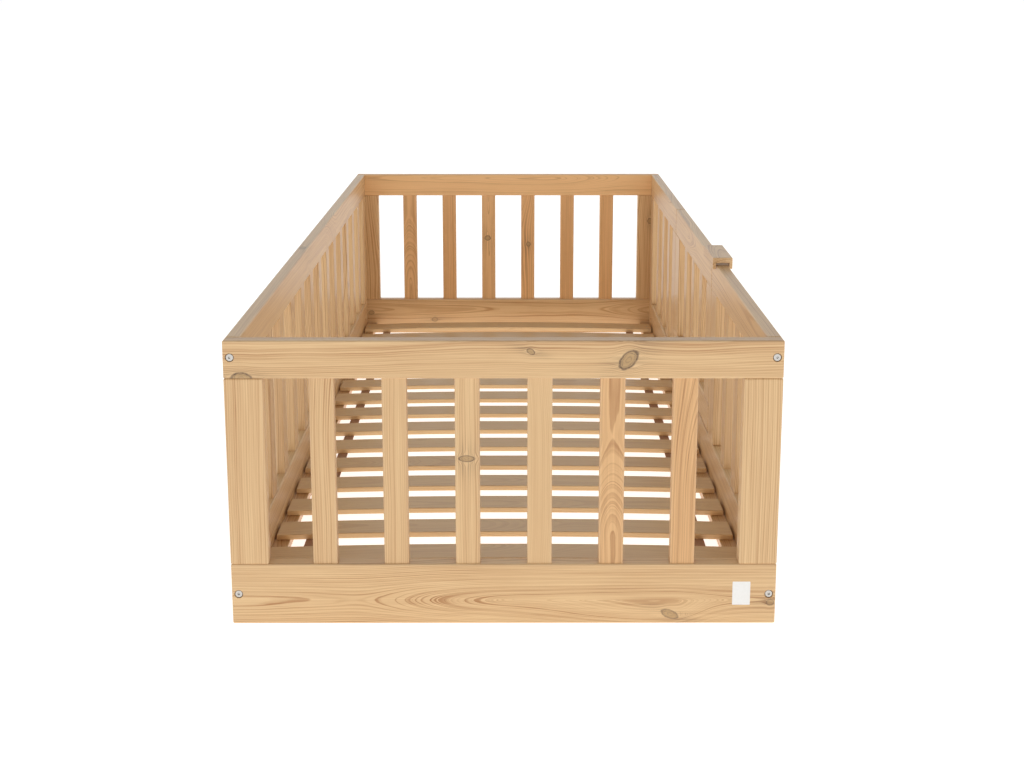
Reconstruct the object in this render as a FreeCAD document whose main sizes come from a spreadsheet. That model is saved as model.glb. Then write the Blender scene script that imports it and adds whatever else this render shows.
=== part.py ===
import FreeCAD, Part
import os
import re
import Sketcher
from FreeCAD import Placement, Rotation, Vector

# Toddler floor bed in oiled pine: two slatted end panels that span the whole width, a slatted side
# frame on the left, and on the right a side frame in three equal sections whose middle one is a gate
# on hinges, kept shut by a wooden cap that slides along the top rails. Sprung laths lie on cleats.
#
# Frame: origin on the floor under the middle of the bed, +Z up, +Y from the near end to the far end,
# +X towards the gate. Millimetres.

# Driving dimensions. Each is set here once, and everything below is worked out from them.
SIZES = {
    # the mattress that the bed is made for, and the play round it
    "mattress_length": 1600,
    "mattress_width": 800,
    "mattress_room": 13,
    # boards of rails, posts and stiles
    "board_thick": 22,
    "board_round": 2.5,
    "top_rail_depth": 60,
    "bottom_rail_depth": 100,
    "post_width": 60,
    "slat_opening": 303,
    # slats and their stub tenons
    "slat_width": 38.5,
    "slat_thick": 16,
    "slat_round": 2,
    "slat_pitch": 112,
    "slat_least_gap": 25,
    "tenon_width": 30,
    "tenon_thick": 8,
    "tenon_length": 12,
    "tenon_room": 0.15,
    # gate
    "seam_gap": 2.5,
    "gate_lift": 5,
    "gate_bottom_rail_depth": 60,
    # dowels between posts and rails
    "dowel_diameter": 8,
    "dowel_length": 40,
    "dowel_spread": 30,
    "dowel_room": 0.1,
    "dowel_end_room": 0.5,
    "dowel_chamfer": 0.8,
    # bolts that join the end panels to the side frames, and their barrel nuts
    "bolt_diameter": 6,
    "bolt_length": 70,
    "bolt_head_diameter": 12,
    "bolt_head_height": 3.4,
    "bolt_head_round": 1,
    "bolt_key_size": 4,
    "bolt_key_depth": 2.2,
    "bolt_room": 0.25,
    "bolt_end_room": 0.5,
    "bolt_below_top": 26.4,
    "sinking_diameter": 13.6,
    "sinking_depth": 4,
    "nut_diameter": 10,
    "nut_length": 16,
    "nut_setback": 40,
    "nut_room": 0.15,
    "thread_room": 0.05,
    # slatted base
    "cleat_width": 28,
    "cleat_height": 15,
    "cleat_rise": 14.5,
    "cleat_end_room": 2,
    "cleat_round": 1.5,
    "cleat_screw_count": 6,
    "cleat_screw_inset": 106.5,
    "lath_width": 54,
    "lath_thick": 10,
    "lath_camber": 6.5,
    "lath_pitch": 100,
    "lath_first": 10,
    "lath_side_room": 4,
    "lath_round": 1.5,
    "seat_room": 0.05,
    "strap_width": 20,
    "strap_thick": 1.5,
    "strap_inset": 62,
    "staple_width": 10,
    "staple_wire": 1,
    "staple_leg": 7,
    # countersunk wood screws
    "screw_diameter": 4,
    "screw_head_diameter": 7.6,
    "screw_head_height": 2.4,
    "screw_point": 5,
    "screw_cross_width": 0.9,
    "screw_cross_span": 3.6,
    "screw_cross_depth": 1.4,
    "screw_room": 0.05,
    "cleat_screw_length": 42,
    "lath_screw_length": 20,
    "lath_screw_inset": 12,
    # butt hinges of the gate
    "hinge_height": 48,
    "hinge_leaf_width": 24,
    "hinge_leaf_thick": 1.8,
    "hinge_knuckle_radius": 3.5,
    "hinge_face_room": 0.3,
    "hinge_pin_radius": 1.75,
    "hinge_pin_room": 0.05,
    "hinge_pin_cap": 1,
    "hinge_pin_cap_radius": 2.6,
    "hinge_middle_height": 18,
    "hinge_side_room": 0.3,
    "hinge_setback": 18,
    "hinge_screw_diameter": 3,
    "hinge_screw_head": 5.6,
    "hinge_screw_length": 15,
    "hinge_screw_pitch": 16,
    "hinge_screw_inset": 16,
    # sliding latch cap over the seam of the top rails
    "latch_length": 118,
    "latch_width": 38,
    "latch_slot": 26,
    "latch_board": 10,
    "latch_overhang": 6.5,
    "latch_round": 1.5,
    "glide_thick": 5.5,
    "glide_room": 0.3,
    "glide_setback": 5,
    "glide_side_room": 0.1,
}

# Sizes that follow from the driving ones.
INNER_LENGTH = "(mattress_length + mattress_room)"
INNER_WIDTH = "(mattress_width + mattress_room)"
TOTAL_WIDTH = f"({INNER_WIDTH} + 2 * board_thick)"
TOP_EDGE = "(bottom_rail_depth + slat_opening)"
TOTAL_HEIGHT = f"({TOP_EDGE} + top_rail_depth)"
SECTION = f"({INNER_LENGTH} / 3)"
FIXED_LENGTH = f"({SECTION} - seam_gap / 2)"
GATE_LENGTH = f"({SECTION} - seam_gap)"
GATE_START = f"({SECTION} + seam_gap / 2)"
FAR_SECTION_START = f"(2 * {SECTION} + seam_gap / 2)"
GATE_EDGE = "(bottom_rail_depth + gate_lift + gate_bottom_rail_depth)"
GATE_OPENING = f"({TOP_EDGE} - {GATE_EDGE})"
BOARD_MIDDLE = "board_thick / 2"
TOP_BOLT = f"({TOTAL_HEIGHT} - bolt_below_top)"
BOTTOM_BOLT = "(bottom_rail_depth / 2)"
BOLT_BORE = "(bolt_diameter + 2 * bolt_room)"
BOLT_REACH = "(sinking_depth + bolt_length - board_thick)"
DOWEL_HOLE = "(dowel_diameter + 2 * dowel_room)"
DOWEL_DEPTH = "(dowel_length / 2 + dowel_end_room)"
LATH_LENGTH = f"({INNER_WIDTH} - 2 * lath_side_room)"
LATH_REACH = f"({LATH_LENGTH} / 2)"
LATH_ARC = f"(({LATH_REACH}^2 + lath_camber^2) / (2 * lath_camber))"
LATH_SEAT = "(cleat_rise + cleat_height + seat_room)"
LATH_COUNT = f"(floor(({INNER_LENGTH} - lath_first - lath_width) / lath_pitch) + 1)"
LATH_SPAN = f"(({LATH_COUNT} - 1) * lath_pitch + lath_width)"
LATH_START = f"(-{INNER_LENGTH} / 2 + lath_first)"
STRAP_OUTER = f"({LATH_REACH} - strap_inset + strap_width / 2)"
STRAP_INNER = f"({LATH_REACH} - strap_inset - strap_width / 2)"
HINGE_AXIS = "(hinge_knuckle_radius + hinge_face_room)"
LATCH_TOP = "(glide_room + glide_thick + latch_board)"
LATCH_HEIGHT = f"({LATCH_TOP} + latch_overhang)"

doc = FreeCAD.newDocument("toddler_floor_bed")
sheet = doc.addObject("Spreadsheet::Sheet", "sizes")
for row, (alias, number) in enumerate(SIZES.items(), start=1):
    sheet.set(f"A{row}", str(number))
    sheet.setAlias(f"A{row}", alias)
doc.recompute()

pieces = []
UP = Vector(0, 0, 1)


def bound(text):
    """An expression on the sheet's aliases, as the document reads it."""
    return re.sub(r"[a-z_]+", lambda word: f"sizes.{word[0]}" if word[0] in SIZES else word[0], text)


def value(text):
    """The present number of an expression."""
    return float(sheet.evalExpression(bound(text)))


def count(text):
    return int(round(value(text)))


def bind(item, **texts):
    """Bind properties of an object to expressions."""
    for name, text in texts.items():
        item.setExpression(name, bound(text))


def place(item, spot, rotation=Rotation()):
    """Put an object's own origin at a spot of three expressions."""
    item.Placement = Placement(Vector(*(value(text) for text in spot)), rotation)
    for axis, text in zip("xyz", spot):
        item.setExpression(f".Placement.Base.{axis}", bound(text))


# --- sketches and features -------------------------------------------------------------------------


def origin_part(body, role):
    return next(item for item in body.Origin.OriginFeatures if item.Role == role)


def new_body(name):
    return doc.addObject("PartDesign::Body", name)


def new_sketch(body, role, name, offset=None):
    """A sketch on one of the body's origin planes, or that far in front of it."""
    sketch = body.newObject("Sketcher::SketchObject", f"{body.Name}_{name}_sketch")
    sketch.AttachmentSupport = [(origin_part(body, role), "")]
    sketch.MapMode = "FlatFace"
    if offset:
        sketch.setExpression(".AttachmentOffset.Base.z", bound(offset))
    return sketch


def pin_point(sketch, edge, end, x, y):
    """Hold one point of a sketch at x and y from its origin."""
    for kind, text in (("DistanceX", x), ("DistanceY", y)):
        index = sketch.addConstraint(Sketcher.Constraint(kind, -1, 1, edge, end, value(text)))
        sketch.setExpression(f"Constraints[{index}]", bound(text))


def outline(sketch, corners):
    """A closed outline of straight edges through the corners."""
    first = sketch.GeometryCount
    spots = [Vector(value(x), value(y), 0) for x, y in corners]
    for index, spot in enumerate(spots):
        sketch.addGeometry(Part.LineSegment(spot, spots[(index + 1) % len(spots)]))
    for index, (x, y) in enumerate(corners):
        after = first + (index + 1) % len(corners)
        sketch.addConstraint(Sketcher.Constraint("Coincident", first + index, 2, after, 1))
        pin_point(sketch, first + index, 1, x, y)


def rectangle(sketch, x, y, width, height):
    right = f"{x} + {width}"
    top = f"{y} + {height}"
    outline(sketch, [(x, y), (right, y), (right, top), (x, top)])


def circle(sketch, x, y, diameter):
    index = sketch.GeometryCount
    radius = value(diameter) / 2
    sketch.addGeometry(Part.Circle(Vector(value(x), value(y), 0), UP, radius))
    pin_point(sketch, index, 3, x, y)
    datum = sketch.addConstraint(Sketcher.Constraint("Diameter", index, 2 * radius))
    sketch.setExpression(f"Constraints[{datum}]", bound(diameter))


def pad(body, sketch, length):
    feature = body.newObject("PartDesign::Pad", sketch.Name.replace("_sketch", "_pad"))
    feature.Profile = sketch
    bind(feature, Length=length)
    return feature


def pocket(body, sketch, depth, flipped=False):
    feature = body.newObject("PartDesign::Pocket", sketch.Name.replace("_sketch", "_pocket"))
    feature.Profile = sketch
    feature.Reversed = flipped
    bind(feature, Length=depth)
    return feature


def round_edges(body, base, radius, along=None):
    """Round every edge of a feature, or only those that run along one axis."""
    doc.recompute()
    feature = body.newObject("PartDesign::Fillet", f"{body.Name}_rounding")
    if along is None:
        feature.Base = (base, [""])
        feature.UseAllEdges = True
    else:
        edges = enumerate(base.Shape.Edges, start=1)
        names = [f"Edge{index}" for index, edge in edges if abs(edge.tangentAt(0).dot(along)) > 0.99]
        feature.Base = (base, names)
    bind(feature, Radius=radius)
    return feature


def drill(body, role, name, spots, diameter, depth, offset=None, flipped=False):
    """Round holes of one size, drilled from an origin plane or from one in front of it."""
    sketch = new_sketch(body, role, name, offset)
    for x, y in spots:
        circle(sketch, x, y, diameter)
    return pocket(body, sketch, depth, flipped)


def repeat(body, feature, number, pitch, role="X_Axis"):
    """Repeat a feature along an axis of the body, at one pitch."""
    pattern = body.newObject("PartDesign::LinearPattern", f"{feature.Name}_row")
    pattern.Originals = [feature]
    pattern.Direction = (origin_part(body, role), [""])
    bind(pattern, Length=f"({number} - 1) * {pitch}", Occurrences=number)
    body.Tip = pattern
    return pattern


# --- the four sides --------------------------------------------------------------------------------


def slats_in(length):
    """How many slats stand between the two posts or stiles of a frame of that length."""
    room = f"({length} - 2 * post_width - slat_width - 2 * slat_least_gap)"
    return f"(floor({room} / slat_pitch) + 1)"


END_SLATS = slats_in(TOTAL_WIDTH)
LEFT_SLATS = slats_in(INNER_LENGTH)
SECTION_SLATS = slats_in(GATE_LENGTH)

# Each side has its start corner on its inner face, at the left as seen from outside the bed, the way
# it runs from there, and the way it faces.
SIDES = {
    "near": ((f"-{TOTAL_WIDTH} / 2", f"-{INNER_LENGTH} / 2"), Vector(1, 0, 0), Vector(0, -1, 0)),
    "right": ((f"{INNER_WIDTH} / 2", f"-{INNER_LENGTH} / 2"), Vector(0, 1, 0), Vector(1, 0, 0)),
    "far": ((f"{TOTAL_WIDTH} / 2", f"{INNER_LENGTH} / 2"), Vector(-1, 0, 0), Vector(0, 1, 0)),
    "left": ((f"-{INNER_WIDTH} / 2", f"{INNER_LENGTH} / 2"), Vector(0, -1, 0), Vector(-1, 0, 0)),
}


def side_spot(side, along, height, outward="0"):
    """A spot on a side, as three expressions for X, Y and Z."""
    corner, run, face = SIDES[side]
    spot = []
    for text, step, out in zip(corner, run, face):
        text += f" + ({along}) * {int(step)}" if step else ""
        text += f" + ({outward}) * {int(out)}" if out else ""
        spot.append(text)
    return [*spot, height]


def side_rotation(side, way):
    """A board's own axes on a side: its length, then its width, then outward as its thickness."""
    run, face = SIDES[side][1:]
    axes = {"rail_up": (run, UP), "rail_down": (-run, -UP), "upright": (UP, -run)}[way]
    return Rotation(*axes, face, "XYZ")


def dowel_centres(along):
    """The two dowels of a post or stile whose middle is at along."""
    return [f"{along} - dowel_spread / 2", f"{along} + dowel_spread / 2"]


def rail(name, side, start, length, depth, edge, way, rows, posts, bolt=None, ends=()):
    """A rail with the edge that takes slats at its own y = 0, looking up or down.

    rows holds the centre and the number of each row of slats, posts the middles of posts and
    stiles, both along the rail as it lies. bolt is the height of the bolts, and ends says at which
    ends of the board they come: on an end panel they pass through it, on a side they enter its end.
    """
    turned = way == "rail_down"

    def from_start(along):
        """A distance along the rail as it lies, from the board's own x = 0."""
        return f"({length} - ({along}))" if turned else f"({along})"

    body = new_body(name)
    sketch = new_sketch(body, "XY_Plane", "board")
    rectangle(sketch, "0", "0", length, depth)
    board = pad(body, sketch, "board_thick")
    round_edges(body, board, "board_round")
    for index, (centre, number) in enumerate(rows, start=1):
        sketch = new_sketch(body, "XZ_Plane", f"mortise_{index}")
        first = f"({from_start(centre)} - (({number}) - 1) * slat_pitch / 2)"
        rectangle(sketch, f"({first} - tenon_width / 2 - tenon_room)",
                  "((board_thick - tenon_thick) / 2 - tenon_room)",
                  "(tenon_width + 2 * tenon_room)", "(tenon_thick + 2 * tenon_room)")
        mortise = pocket(body, sketch, "tenon_length + tenon_room")
        repeat(body, mortise, number, "slat_pitch")
    holes = [(from_start(along), BOARD_MIDDLE) for post in posts for along in dowel_centres(post)]
    drill(body, "XZ_Plane", "dowel_holes", holes, DOWEL_HOLE, DOWEL_DEPTH)
    if bolt:
        across = f"({edge} - {bolt})" if turned else f"({bolt} - {edge})"
        if side in ("near", "far"):
            spots = [(BOARD_MIDDLE, across), (f"({length} - {BOARD_MIDDLE})", across)]
            drill(body, "XY_Plane", "bolt_holes", spots, BOLT_BORE, "board_thick", flipped=True)
            drill(body, "XY_Plane", "sinkings", spots, "sinking_diameter", "sinking_depth", "board_thick")
        else:
            bore_depth = f"({BOLT_REACH} + bolt_end_room)"
            nut_depth = f"({BOARD_MIDDLE} + nut_length / 2 + nut_room)"
            nuts = []
            for end in ends:
                at_start = (end == "start") != turned
                offset = None if at_start else length
                drill(body, "YZ_Plane", f"bolt_bore_{end}", [(across, BOARD_MIDDLE)], BOLT_BORE,
                      bore_depth, offset, flipped=at_start)
                nuts.append(("nut_setback" if at_start else f"({length} - nut_setback)", across))
            drill(body, "XY_Plane", "nut_holes", nuts, "(nut_diameter + 2 * nut_room)", nut_depth,
                  flipped=True)
    place(body, side_spot(side, f"{start} + {length}" if turned else start, edge),
          side_rotation(side, way))
    pieces.append(body)
    return body


def post(name, side, start, foot, length):
    """An upright board between two rails, with dowel holes in both ends."""
    body = new_body(name)
    sketch = new_sketch(body, "XY_Plane", "board")
    rectangle(sketch, "0", "0", length, "post_width")
    board = pad(body, sketch, "board_thick")
    round_edges(body, board, "board_round")
    spots = [(across, BOARD_MIDDLE) for across in dowel_centres("post_width / 2")]
    drill(body, "YZ_Plane", "foot_holes", spots, DOWEL_HOLE, DOWEL_DEPTH, flipped=True)
    drill(body, "YZ_Plane", "head_holes", spots, DOWEL_HOLE, DOWEL_DEPTH, length)
    place(body, side_spot(side, f"{start} + post_width", foot), side_rotation(side, "upright"))
    pieces.append(body)
    return body


def slat(name, opening):
    """An upright slat with a stub tenon at each end; its own x = 0 is the end of the lower tenon."""
    body = new_body(name)
    sketch = new_sketch(body, "XY_Plane", "board")
    rectangle(sketch, "tenon_length", "0", opening, "slat_width")
    board = pad(body, sketch, "slat_thick")
    round_edges(body, board, "slat_round", Vector(1, 0, 0))
    sketch = new_sketch(body, "XY_Plane", "tenons", "(slat_thick - tenon_thick) / 2")
    rectangle(sketch, "0", "((slat_width - tenon_width) / 2)", f"({opening} + 2 * tenon_length)",
              "tenon_width")
    pad(body, sketch, "tenon_thick")
    return body


def slat_spot(side, middle, number, index, foot):
    """Where slat number index of a row of that many slats stands."""
    along = f"{middle} + ({index} - (({number}) - 1) / 2) * slat_pitch + slat_width / 2"
    return side_spot(side, along, f"{foot} - tenon_length", "(board_thick - slat_thick) / 2")


def group(name, copies):
    """Separate solids that share one node: copies holds an object, a spot and a rotation each."""
    links = []
    for index, (original, spot, rotation) in enumerate(copies, start=1):
        link = doc.addObject("App::Link", f"{name}_copy_{index}")
        link.LinkedObject = original
        place(link, spot, rotation)
        links.append(link)
    compound = doc.addObject("Part::Compound", name)
    compound.Links = links
    pieces.append(compound)
    return compound


def slat_row(name, original, side, middle, number, foot):
    rotation = side_rotation(side, "upright")
    spots = [slat_spot(side, middle, number, index, foot) for index in range(count(number))]
    group(name, [(original, spot, rotation) for spot in spots])


# --- end panels ------------------------------------------------------------------------------------

# An end panel has full-width rails over and under its two posts, and a row of slats between them.
POST_MIDDLE = "(post_width / 2)"
END_POSTS = [POST_MIDDLE, f"({TOTAL_WIDTH} - post_width / 2)"]
END_ROW = [(f"({TOTAL_WIDTH} / 2)", END_SLATS)]
for side in ("near", "far"):
    rail(f"{side}_top_rail", side, "0", TOTAL_WIDTH, "top_rail_depth", TOP_EDGE, "rail_up",
         END_ROW, END_POSTS, TOP_BOLT)
    rail(f"{side}_bottom_rail", side, "0", TOTAL_WIDTH, "bottom_rail_depth", "bottom_rail_depth",
         "rail_down", END_ROW, END_POSTS, BOTTOM_BOLT)
    hands = ("left", "right") if side == "near" else ("right", "left")
    for hand, start in zip(hands, ("0", f"({TOTAL_WIDTH} - post_width)")):
        post(f"{side}_{hand}_post", side, start, "bottom_rail_depth", "slat_opening")
    for index in range(count(END_SLATS)):
        piece = slat(f"{side}_slat_{index + 1}", "slat_opening")
        spot = slat_spot(side, f"{TOTAL_WIDTH} / 2", END_SLATS, index, "bottom_rail_depth")
        place(piece, spot, side_rotation(side, "upright"))
        pieces.append(piece)

# --- side frames -----------------------------------------------------------------------------------

# The left frame runs in one piece between the end panels. The right one shares a long bottom rail
# with a gap in its upper part for the gate.
side_slat = slat("side_slat", "slat_opening")
LEFT_STILES = [POST_MIDDLE, f"({INNER_LENGTH} - post_width / 2)"]
LEFT_ROW = [(f"({INNER_LENGTH} / 2)", LEFT_SLATS)]
BOTH_ENDS = ("start", "finish")
rail("left_top_rail", "left", "0", INNER_LENGTH, "top_rail_depth", TOP_EDGE, "rail_up",
     LEFT_ROW, LEFT_STILES, TOP_BOLT, BOTH_ENDS)
rail("left_bottom_rail", "left", "0", INNER_LENGTH, "bottom_rail_depth", "bottom_rail_depth",
     "rail_down", LEFT_ROW, LEFT_STILES, BOTTOM_BOLT, BOTH_ENDS)
post("left_far_stile", "left", "0", "bottom_rail_depth", "slat_opening")
post("left_near_stile", "left", f"{INNER_LENGTH} - post_width", "bottom_rail_depth", "slat_opening")
slat_row("left_slats", side_slat, "left", f"{INNER_LENGTH} / 2", LEFT_SLATS, "bottom_rail_depth")

FIXED_STILES = [POST_MIDDLE, f"({FIXED_LENGTH} - post_width / 2)"]
FAR_STILES = [f"({FAR_SECTION_START} + {along})" for along in FIXED_STILES]
NEAR_MIDDLE = f"({FIXED_LENGTH} / 2)"
FAR_MIDDLE = f"({FAR_SECTION_START} + {FIXED_LENGTH} / 2)"
rail("right_bottom_rail", "right", "0", INNER_LENGTH, "bottom_rail_depth", "bottom_rail_depth",
     "rail_down", [(NEAR_MIDDLE, SECTION_SLATS), (FAR_MIDDLE, SECTION_SLATS)],
     FIXED_STILES + FAR_STILES, BOTTOM_BOLT, BOTH_ENDS)
for name, start, middle, end in (("right_near", "0", NEAR_MIDDLE, "start"),
                                 ("right_far", FAR_SECTION_START, FAR_MIDDLE, "finish")):
    rail(f"{name}_top_rail", "right", start, FIXED_LENGTH, "top_rail_depth", TOP_EDGE, "rail_up",
         [(f"({FIXED_LENGTH} / 2)", SECTION_SLATS)], FIXED_STILES, TOP_BOLT, (end,))
    slat_row(f"{name}_slats", side_slat, "right", middle, SECTION_SLATS, "bottom_rail_depth")
post("right_near_outer_stile", "right", "0", "bottom_rail_depth", "slat_opening")
post("right_near_gate_stile", "right", f"{FIXED_LENGTH} - post_width", "bottom_rail_depth",
     "slat_opening")
post("right_far_gate_stile", "right", FAR_SECTION_START, "bottom_rail_depth", "slat_opening")
post("right_far_outer_stile", "right", f"{INNER_LENGTH} - post_width", "bottom_rail_depth",
     "slat_opening")

# --- gate ------------------------------------------------------------------------------------------

# The gate has a bottom rail of its own that clears the long one, and shorter slats.
gate_slat = slat("gate_slat", GATE_OPENING)
GATE_STILES = [POST_MIDDLE, f"({GATE_LENGTH} - post_width / 2)"]
GATE_ROW = [(f"({GATE_LENGTH} / 2)", SECTION_SLATS)]
rail("gate_top_rail", "right", GATE_START, GATE_LENGTH, "top_rail_depth", TOP_EDGE, "rail_up",
     GATE_ROW, GATE_STILES)
rail("gate_bottom_rail", "right", GATE_START, GATE_LENGTH, "gate_bottom_rail_depth", GATE_EDGE,
     "rail_down", GATE_ROW, GATE_STILES)
post("gate_latch_stile", "right", GATE_START, GATE_EDGE, GATE_OPENING)
post("gate_hinge_stile", "right", f"{GATE_START} + {GATE_LENGTH} - post_width", GATE_EDGE,
     GATE_OPENING)
slat_row("gate_slats", gate_slat, "right", f"{GATE_START} + {GATE_LENGTH} / 2", SECTION_SLATS,
         GATE_EDGE)

# --- dowels ----------------------------------------------------------------------------------------

dowel = new_body("dowel")
dowel_round = new_sketch(dowel, "XY_Plane", "round")
circle(dowel_round, "0", "0", "dowel_diameter")
dowel_rod = pad(dowel, dowel_round, "dowel_length")
doc.recompute()
dowel_ends = dowel.newObject("PartDesign::Chamfer", "dowel_ends")
flat_faces = [f"Face{index}" for index, face in enumerate(dowel_rod.Shape.Faces, start=1)
              if face.Surface.TypeId == "Part::GeomPlane"]
dowel_ends.Base = (dowel_rod, flat_faces)
bind(dowel_ends, Size="dowel_chamfer")


def dowel_spots(side, offset, middles, foot, head):
    """Both dowels at the foot and at the head of each post or stile."""
    return [side_spot(side, f"{offset} + {along}", f"{level} - dowel_length / 2", BOARD_MIDDLE)
            for middle in middles for along in dowel_centres(middle) for level in (foot, head)]


def dowel_group(name, spots):
    group(name, [(dowel, spot, Rotation()) for spot in spots])


dowel_group("end_dowels", dowel_spots("near", "0", END_POSTS, "bottom_rail_depth", TOP_EDGE)
            + dowel_spots("far", "0", END_POSTS, "bottom_rail_depth", TOP_EDGE))
dowel_group("side_dowels", dowel_spots("left", "0", LEFT_STILES, "bottom_rail_depth", TOP_EDGE)
            + dowel_spots("right", "0", FIXED_STILES + FAR_STILES, "bottom_rail_depth", TOP_EDGE))
dowel_group("gate_dowels", dowel_spots("right", GATE_START, GATE_STILES, GATE_EDGE, TOP_EDGE))

# --- bolts and barrel nuts -------------------------------------------------------------------------

# A furniture bolt lies with its tip at its own origin and its head along +Z.
bolt = new_body("bolt")
shank = new_sketch(bolt, "XY_Plane", "shank")
circle(shank, "0", "0", "bolt_diameter")
pad(bolt, shank, "bolt_length")
head = new_sketch(bolt, "XY_Plane", "head", "bolt_length")
circle(head, "0", "0", "bolt_head_diameter")
head_disc = pad(bolt, head, "bolt_head_height")
doc.recompute()
head_rim = bolt.newObject("PartDesign::Fillet", "bolt_head_rim")
top_edges = [f"Edge{index}" for index, edge in enumerate(head_disc.Shape.Edges, start=1)
             if edge.BoundBox.ZMin > value("bolt_length + bolt_head_height") - 0.01]
head_rim.Base = (head_disc, top_edges)
bind(head_rim, Radius="bolt_head_round")
key = new_sketch(bolt, "XY_Plane", "key", "bolt_length + bolt_head_height")
HALF_KEY = "(bolt_key_size / 2)"
KEY_CORNER = "(bolt_key_size / sqrt(3))"
outline(key, [(KEY_CORNER, "0"), (f"{KEY_CORNER} / 2", HALF_KEY), (f"-{KEY_CORNER} / 2", HALF_KEY),
              (f"-{KEY_CORNER}", "0"), (f"-{KEY_CORNER} / 2", f"-{HALF_KEY}"),
              (f"{KEY_CORNER} / 2", f"-{HALF_KEY}")])
pocket(bolt, key, "bolt_key_depth")

# A barrel nut lies along its own Z, with a cross hole that the bolt screws into.
nut_rod = doc.addObject("Part::Cylinder", "nut_rod")
bind(nut_rod, Radius="nut_diameter / 2", Height="nut_length")
nut_thread = doc.addObject("Part::Cylinder", "nut_thread")
bind(nut_thread, Radius="bolt_diameter / 2 + thread_room", Height="2 * nut_diameter")
place(nut_thread, ("-nut_diameter", "0", "nut_length / 2"), Rotation(Vector(0, 1, 0), 90))
nut = doc.addObject("Part::Cut", "nut")
nut.Base = nut_rod
nut.Tool = nut_thread

bolt_copies = []
nut_copies = []
for side in ("near", "far"):
    facing = side_rotation(side, "rail_up")
    for along in (BOARD_MIDDLE, f"{TOTAL_WIDTH} - {BOARD_MIDDLE}"):
        for height in (TOP_BOLT, BOTTOM_BOLT):
            bolt_copies.append((bolt, side_spot(side, along, height, f"-{BOLT_REACH}"), facing))
for side in ("left", "right"):
    for along in ("nut_setback", f"{INNER_LENGTH} - nut_setback"):
        for height in (TOP_BOLT, BOTTOM_BOLT):
            spot = side_spot(side, along, height, "(board_thick - nut_length) / 2")
            outward, run = SIDES[side][2], SIDES[side][1]
            nut_copies.append((nut, spot, Rotation(run, UP, outward, "XYZ")))
group("end_bolts", bolt_copies)
group("barrel_nuts", nut_copies)

# --- wood screws -----------------------------------------------------------------------------------


def screw(name, diameter, head_diameter, head_height, length):
    """A countersunk screw with its point at its own origin, its head along +Z and a cross recess."""
    body = new_body(name)
    profile = new_sketch(body, "XZ_Plane", "profile")
    outline(profile, [("0", "0"), (f"{diameter} / 2", "screw_point"),
                      (f"{diameter} / 2", f"{length} - {head_height}"),
                      (f"{head_diameter} / 2", length), ("0", length)])
    turned = body.newObject("PartDesign::Revolution", f"{name}_turned")
    turned.Profile = profile
    turned.ReferenceAxis = (profile, ["V_Axis"])
    turned.Angle = 360
    recess = new_sketch(body, "XY_Plane", "recess", length)
    arm = "(screw_cross_span / 2)"
    half = "(screw_cross_width / 2)"
    outline(recess, [(arm, f"-{half}"), (arm, half), (half, half), (half, arm), (f"-{half}", arm),
                     (f"-{half}", half), (f"-{arm}", half), (f"-{arm}", f"-{half}"),
                     (f"-{half}", f"-{half}"), (f"-{half}", f"-{arm}"), (half, f"-{arm}"),
                     (half, f"-{half}")])
    pocket(body, recess, "screw_cross_depth")
    return body


# --- slatted base ----------------------------------------------------------------------------------

# A square cleat along each side carries the laths. It is screwed to the bottom rail from inside.
CLEAT_LENGTH = f"({INNER_LENGTH} - 2 * cleat_end_room)"
CLEAT_SCREW_LEVEL = "(cleat_rise + cleat_height / 2)"
CLEAT_SCREW_PITCH = f"(({INNER_LENGTH} - 2 * cleat_screw_inset) / (cleat_screw_count - 1))"
for hand, edge in (("left", f"-{INNER_WIDTH} / 2"), ("right", f"{INNER_WIDTH} / 2 - cleat_width")):
    cleat = new_body(f"{hand}_cleat")
    section = new_sketch(cleat, "XY_Plane", "board")
    rectangle(section, "0", "0", "cleat_width", CLEAT_LENGTH)
    strip = pad(cleat, section, "cleat_height")
    round_edges(cleat, strip, "cleat_round", Vector(0, 1, 0))
    place(cleat, (edge, f"-{CLEAT_LENGTH} / 2", "cleat_rise"))
    pieces.append(cleat)

cleat_screw = screw("cleat_screw", "screw_diameter", "screw_head_diameter", "screw_head_height",
                    "cleat_screw_length")
cleat_screw_copies = []
for side in ("left", "right"):
    run, face = SIDES[side][1:]
    inward = Rotation(run, -UP, -face, "XYZ")
    for index in range(count("cleat_screw_count")):
        along = f"cleat_screw_inset + {index} * {CLEAT_SCREW_PITCH}"
        spot = side_spot(side, along, CLEAT_SCREW_LEVEL, "cleat_screw_length - cleat_width")
        cleat_screw_copies.append((cleat_screw, spot, inward))
group("cleat_screws", cleat_screw_copies)

# A sprung lath is a strip bent to an arc, its ends on the cleats and its middle above them.
lath = new_body("lath")
bow = new_sketch(lath, "XZ_Plane", "bow")
lath_ends = [("0", "0"), (LATH_LENGTH, "0"), (LATH_LENGTH, "lath_thick"), ("0", "lath_thick")]
corners = [Vector(value(x), value(y), 0) for x, y in lath_ends]
lift = Vector(value(LATH_REACH), value("lath_camber"), 0)
bow.addGeometry(Part.Arc(corners[0], lift, corners[1]))
bow.addGeometry(Part.LineSegment(corners[1], corners[2]))
bow.addGeometry(Part.Arc(corners[3], lift + corners[3], corners[2]))
bow.addGeometry(Part.LineSegment(corners[3], corners[0]))
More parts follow.
